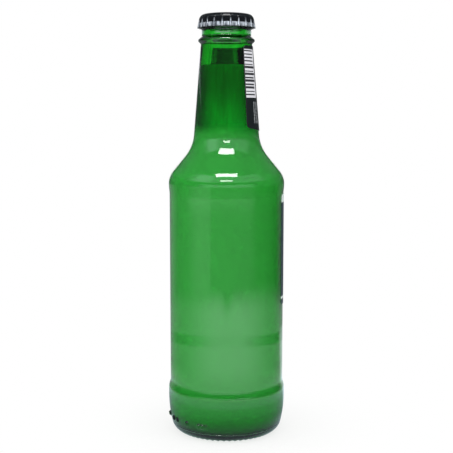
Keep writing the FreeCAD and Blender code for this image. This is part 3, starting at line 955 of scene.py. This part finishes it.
CROWN_LOW, CROWN_HIGH = box_mm("crown_shell")
FLUTES = 21
SHEET = 0.25
SKIRT = 13.55
FLARE = 13.8
RIDGE = CROWN_HIGH.x - FLARE
crown_outside = rounded(
    (0.0, CROWN_HIGH.z),
    (SKIRT, CROWN_HIGH.z, 2.2, 12),
    (SKIRT, 210.4),
    (SKIRT, 209.6),
    (SKIRT + 0.05, 208.9),
    (SKIRT + 0.12, 208.2),
    (SKIRT + 0.19, 207.4),
    (FLARE, CROWN_LOW.z),
)
crown_inside = shifted(crown_outside, -SHEET)[::-1]
made_piece(
    "crown_cap", outline_mesh("crown_outline", crown_outside + crown_inside), crown_tree(),
    {"Columns": 24 * FLUTES, "Flutes": FLUTES, "First Ridge": math.radians(180 / FLUTES / 2),
     "Ridge Top": 212.0 * MM, "Ridge Foot": CROWN_LOW.z * MM, "Ridge Height": RIDGE * MM,
     "Ridge Width": 1.1 * MM, "Inside Row": len(crown_outside) + 0.5,
     "Lacquer": CROWN_LACQUER, "Tinplate": SHADED_TINPLATE},
    "cap", "crown_shell")

# %% [markdown]
# ## The liner
# Inside the cap a soft ring of pale compound seals the mouth. It only shows once the cap is lifted. It is
# turned as well: a thin web, and a bead with round edges that sits on the lip.

# %% Mould the liner


def liner_compound():
    """Soft off-white sealing compound with a faint mould grain."""
    material, place = new_material("liner_compound")
    grain = noise(place, 0.9 * MM, 2.0)
    return skin(material, {
        "Base Color": mixed(grain, (0.66, 0.66, 0.63, 1.0), (0.76, 0.76, 0.74, 1.0)),
        "Roughness": grain.ramp(0.3, 0.7, 0.42, 0.55),
        "Normal": bump(grain, 0.15, 0.1 * MM),
        "Subsurface Weight": 0.2,
        "Subsurface Radius": (0.6, 0.6, 0.6),
        "Subsurface Scale": 0.001,
    })


LINER_LOW, LINER_HIGH = box_mm("crown_liner")
WEB = 0.3
liner_outline = rounded(
    (0.0, LINER_HIGH.z - WEB),
    (8.1, LINER_HIGH.z - WEB, 0.4),
    (8.5, LINER_LOW.z, 0.3),
    (LINER_HIGH.x, LINER_LOW.z, 0.4),
    (LINER_HIGH.x, LINER_HIGH.z, 0.1),
    (0.0, LINER_HIGH.z),
)
made_piece("crown_liner_seal", outline_mesh("liner_outline", liner_outline), TURNED,
           {"Columns": 96, "Material": liner_compound()}, "cap", "crown_liner")

# %% [markdown]
# ## Wrapped labels
# A label is a flat sheet bent round the glass. A grid is laid over the wrap angle and the height. Its
# rows get shorter close to the top and the bottom, which rounds the corners, and are closer together
# there. The lower edge of the neck label dips in the middle, because it is cut by a tilted plane. The
# flat place of each point is kept as a UV map, so that the print follows the sheet.

# %% Wrap a sheet round the glass


def corner_cut(corner, rise, tall):
    """How much shorter a row is on each side, close to the rounded corners."""
    margin = rise.calc("MINIMUM", 1.0 - rise) * tall
    return corner - half_chord(corner, corner - margin.calc("MINIMUM", corner))


def wrap_tree():
    """A sheet with rounded corners, wrapped part of the way round a cone."""
    tree, given, result = new_tree(
        "wrapped_sheet", Int=["Columns", "Rows"], Material=["Material"],
        Float=["Low Height", "High Height", "Low Radius", "High Radius", "Wrap", "Turn", "Corner", "Tilt"])
    low_height = given["Low Height"]
    low_radius = given["Low Radius"]
    x, y, _z = split(add(tree, "GeometryNodeInputPosition"))
    rise = ((y * math.pi).calc("SINE") + 1.0) * 0.5
    tall = given["High Height"] - low_height
    cut = corner_cut(given["Corner"], rise, tall) / low_radius
    angle = x * 2.0 * (given["Wrap"] * 0.5 - cut)
    dip = (1.0 - angle.calc("COSINE")) * low_radius * given["Tilt"].calc("TANGENT") * (1.0 - rise)
    share = (rise * tall + dip) / tall
    distance = low_radius + share * (given["High Radius"] - low_radius)
    across = angle / given["Wrap"] + 0.5
    grid = unit_grid(given["Columns"], given["Rows"])
    mapped = stored(grid, "sheet", join(across, share), "FLOAT2", "CORNER")
    place = from_polar(distance, angle + given["Turn"], low_height + share * tall)
    plug(tree, result, dressed(smooth(moved(mapped, Position=place)), given["Material"]))
    return tree


WRAP = wrap_tree()
LABEL_TURN = math.radians(47.4)
LABEL_CORNER = 2.3
GLUE_MARGIN = 0.6


def wrapped_sheet(name, material, node, layer, wrap, tilt=0.0, margin=0.0):
    """A sheet in the place of a node. The layer is its distance from the glass and its thickness in mm."""
    stand_off, thickness = layer
    low, high = (corner.z for corner in box_mm(node))
    low_radius = distance_at(glass_outside, low)
    high_radius = distance_at(glass_outside, high)
    made_piece(
        name, bpy.data.meshes.new(name), WRAP,
        {"Columns": 120, "Rows": 40, "Low Height": low * MM, "High Height": high * MM,
         "Low Radius": (low_radius + stand_off) * MM, "High Radius": (high_radius + stand_off) * MM,
         "Wrap": math.radians(wrap) - 2 * margin / low_radius, "Turn": LABEL_TURN,
         "Corner": (LABEL_CORNER - margin) * MM, "Tilt": math.radians(tilt), "Material": material},
        "bottle", node, thickness * MM)


print("wrapping tree:", WRAP.name)

# %% [markdown]
# ## Print
# Both labels are printed film: a dark satin ground with plain bars, lines and bands in pale ink. It is
# all drawn by arithmetic on the flat sheet, in millimetres, with edges a tenth of a millimetre soft, so
# it stays sharp close up. Ink and ground differ a little in gloss, a fine grain breaks up both, and a
# shallow bump lets the film lie unevenly.

# %% Prepare the film


def film(name, wide, tall):
    """A label's material, and places on the sheet in mm: across from its middle, up from its lower edge."""
    material, place = new_material(name)
    across, up, _z = split(add(place.tree, "ShaderNodeUVMap", uv_map="sheet"))
    return material, place, (across - 0.5) * wide, up * tall


def printed(material, place, ground, inks):
    """Satin film with inks laid over its ground one after the other, each a mask with its colour."""
    colour = ground
    for mask, ink in inks:
        colour = mixed(mask, colour, ink)
    cover = largest(*(mask for mask, _ink in inks))
    grain = noise(place, 0.7 * MM, 3.0)
    return skin(material, {
        "Base Color": mixed(grain.ramp(0.25, 0.75, 0.12, 0.0), colour, grey(0.0)),
        "Roughness": (cover + grain * 0.3).ramp(0.0, 1.3, 0.34, 0.5),
        "Normal": bump(noise(place, 6.0 * MM, 2.0), 0.1, 0.2 * MM),
        "Specular IOR Level": 0.4,
    })


PALE_INK = (0.60, 0.68, 0.65, 1.0)
FINE = 0.06
print("film is ready")

# %% Print the neck label
BAR_PITCH = 1.66
PANEL_ACROSS = (-24.6, -15.9)
PANEL_UP = (17.1, 41.0)
BARS_UP = (17.6, 40.5)
BARS_END = (-17.4, -17.3)
LINES_ACROSS = (-20.5, -15.3)
LINES_UP = (4.3, 15.1)
LINE_PITCH = 1.5


def bar_panel(across, up):
    """A white panel at the margin, and dark bars on it that are thick or thin by chance."""
    panel = across.band(*PANEL_ACROSS, FINE) * up.band(*PANEL_UP, FINE)
    place = up / BAR_PITCH
    values = {"W": place.calc("FLOOR")}
    chance = add(up.tree, "ShaderNodeTexWhiteNoise", values, "Value", noise_dimensions="1D")
    thick = chance.ramp(0.0, 1.0, 0.30, 0.72)
    dark = (place.calc("FRACT") - thick).ramp(-FINE, FINE, 1.0, 0.0)
    longer = chance.calc("GREATER_THAN", 0.8) * 0.9
    return panel, dark * (across - longer).ramp(*BARS_END, 1.0, 0.0) * up.band(*BARS_UP, FINE)


def fine_lines(across, up):
    """Upright lines of short dashes, as small print looks from afar."""
    line = (across + 22 * LINE_PITCH).calc("PINGPONG", LINE_PITCH / 2).ramp(0.14, 0.24, 1.0, 0.0)
    column = (across / LINE_PITCH).calc("FLOOR")
    dash = noise(join(column, up * 0.6), 1.0, 1.0).ramp(0.42, 0.46)
    return line * dash * across.band(*LINES_ACROSS, 0.1) * up.band(*LINES_UP, 0.1)


def lozenge_emblem(across, up):
    """A plain lozenge in a lozenge frame."""
    reach = abs(across / 7.0) + abs((up - 21.0) / 11.0)
    return largest(reach.ramp(0.55, 0.57, 1.0, 0.0), reach.band(0.8, 0.9, 0.01))


def neck_label_film(wide, tall):
    """Black film with a panel of bars at one margin, fine lines and a plain emblem."""
    material, place, across, up = film("neck_label_film", wide, tall)
    panel, bars = bar_panel(across, up)
    rules = largest(up.band(4.2, 4.7, FINE), up.band(37.6, 38.1, FINE))
    return printed(material, place, (0.008, 0.011, 0.013, 1.0), [
        (panel, (0.66, 0.66, 0.70, 1.0)),
        (bars, (0.03, 0.03, 0.035, 1.0)),
        (fine_lines(across, up), (0.42, 0.44, 0.46, 1.0)),
        (lozenge_emblem(across, up), PALE_INK),
        (rules * across.band(-10.5, 20.0, 0.1), PALE_INK),
    ])


FILM_LAYER = (0.08, 0.15)
NECK_WRAP = 199.4
NECK_TILT = 6.3
NECK_SHEET = (50.2, 42.8)
wrapped_sheet("neck_label_film", neck_label_film(*NECK_SHEET), "neck_label",
              FILM_LAYER, NECK_WRAP, NECK_TILT)

# %% Print the body label


def body_label_film(wide, tall):
    """Dark slate film with a pale band along the top and a plain oval of stripes."""
    material, place, across, up = film("body_label_film", wide, tall)
    oval = length(across / 17.0, (up - 27.5) / 18.5)
    field = oval.ramp(0.82, 0.828, 1.0, 0.0)
    stripes = up.calc("PINGPONG", 2.0).ramp(0.97, 1.03)
    return printed(material, place, (0.038, 0.060, 0.078, 1.0), [
        (up.ramp(52.35, 52.5), PALE_INK),
        (up.band(50.6, 51.1, FINE) * across.band(-26.0, 26.0, 0.1), PALE_INK),
        (up.band(3.0, 4.2, FINE), PALE_INK),
        (oval.band(0.9, 0.97, 0.004), PALE_INK),
        (field, (0.16, 0.34, 0.20, 1.0)),
        (field * stripes, PALE_INK),
    ])


BODY_WRAP = 132.2
BODY_SHEET = (67.3, 56.5)
wrapped_sheet("body_label_film", body_label_film(*BODY_SHEET), "body_label",
              FILM_LAYER, BODY_WRAP)

# %% [markdown]
# ## Glue
# Each label lies on a coat of glue that ends just short of its edges and wets the glass, so from behind,
# through the glass, the dark film shows with no silvery air in between. The coat is a thin wrapped sheet
# too, with the faint lines that a glue roller leaves.

# %% Lay the glue


def clear_glue():
    """Clear glue that looks as dark as the film behind it, with the lines of the glue roller."""
    material, place = new_material("clear_glue")
    lines = split(place)[2].calc("PINGPONG", 0.9 * MM).ramp(*mm(0.2, 0.7))
    lines = lines * noise(place, 4.0 * MM, 2.0)
    return skin(material, {
        "Base Color": mixed(lines, (0.016, 0.019, 0.021, 1.0), (0.032, 0.036, 0.036, 1.0)),
        "Roughness": lines.ramp(0.0, 1.0, 0.3, 0.5),
        "Specular IOR Level": 0.1,
    })


CLEAR_GLUE = clear_glue()
GLUE_LAYER = (-0.03, 0.12)
wrapped_sheet("neck_label_glue_coat", CLEAR_GLUE, "neck_label_glue",
              GLUE_LAYER, NECK_WRAP, NECK_TILT, GLUE_MARGIN)
wrapped_sheet("body_label_glue_coat", CLEAR_GLUE, "body_label_glue",
              GLUE_LAYER, BODY_WRAP, 0.0, GLUE_MARGIN)
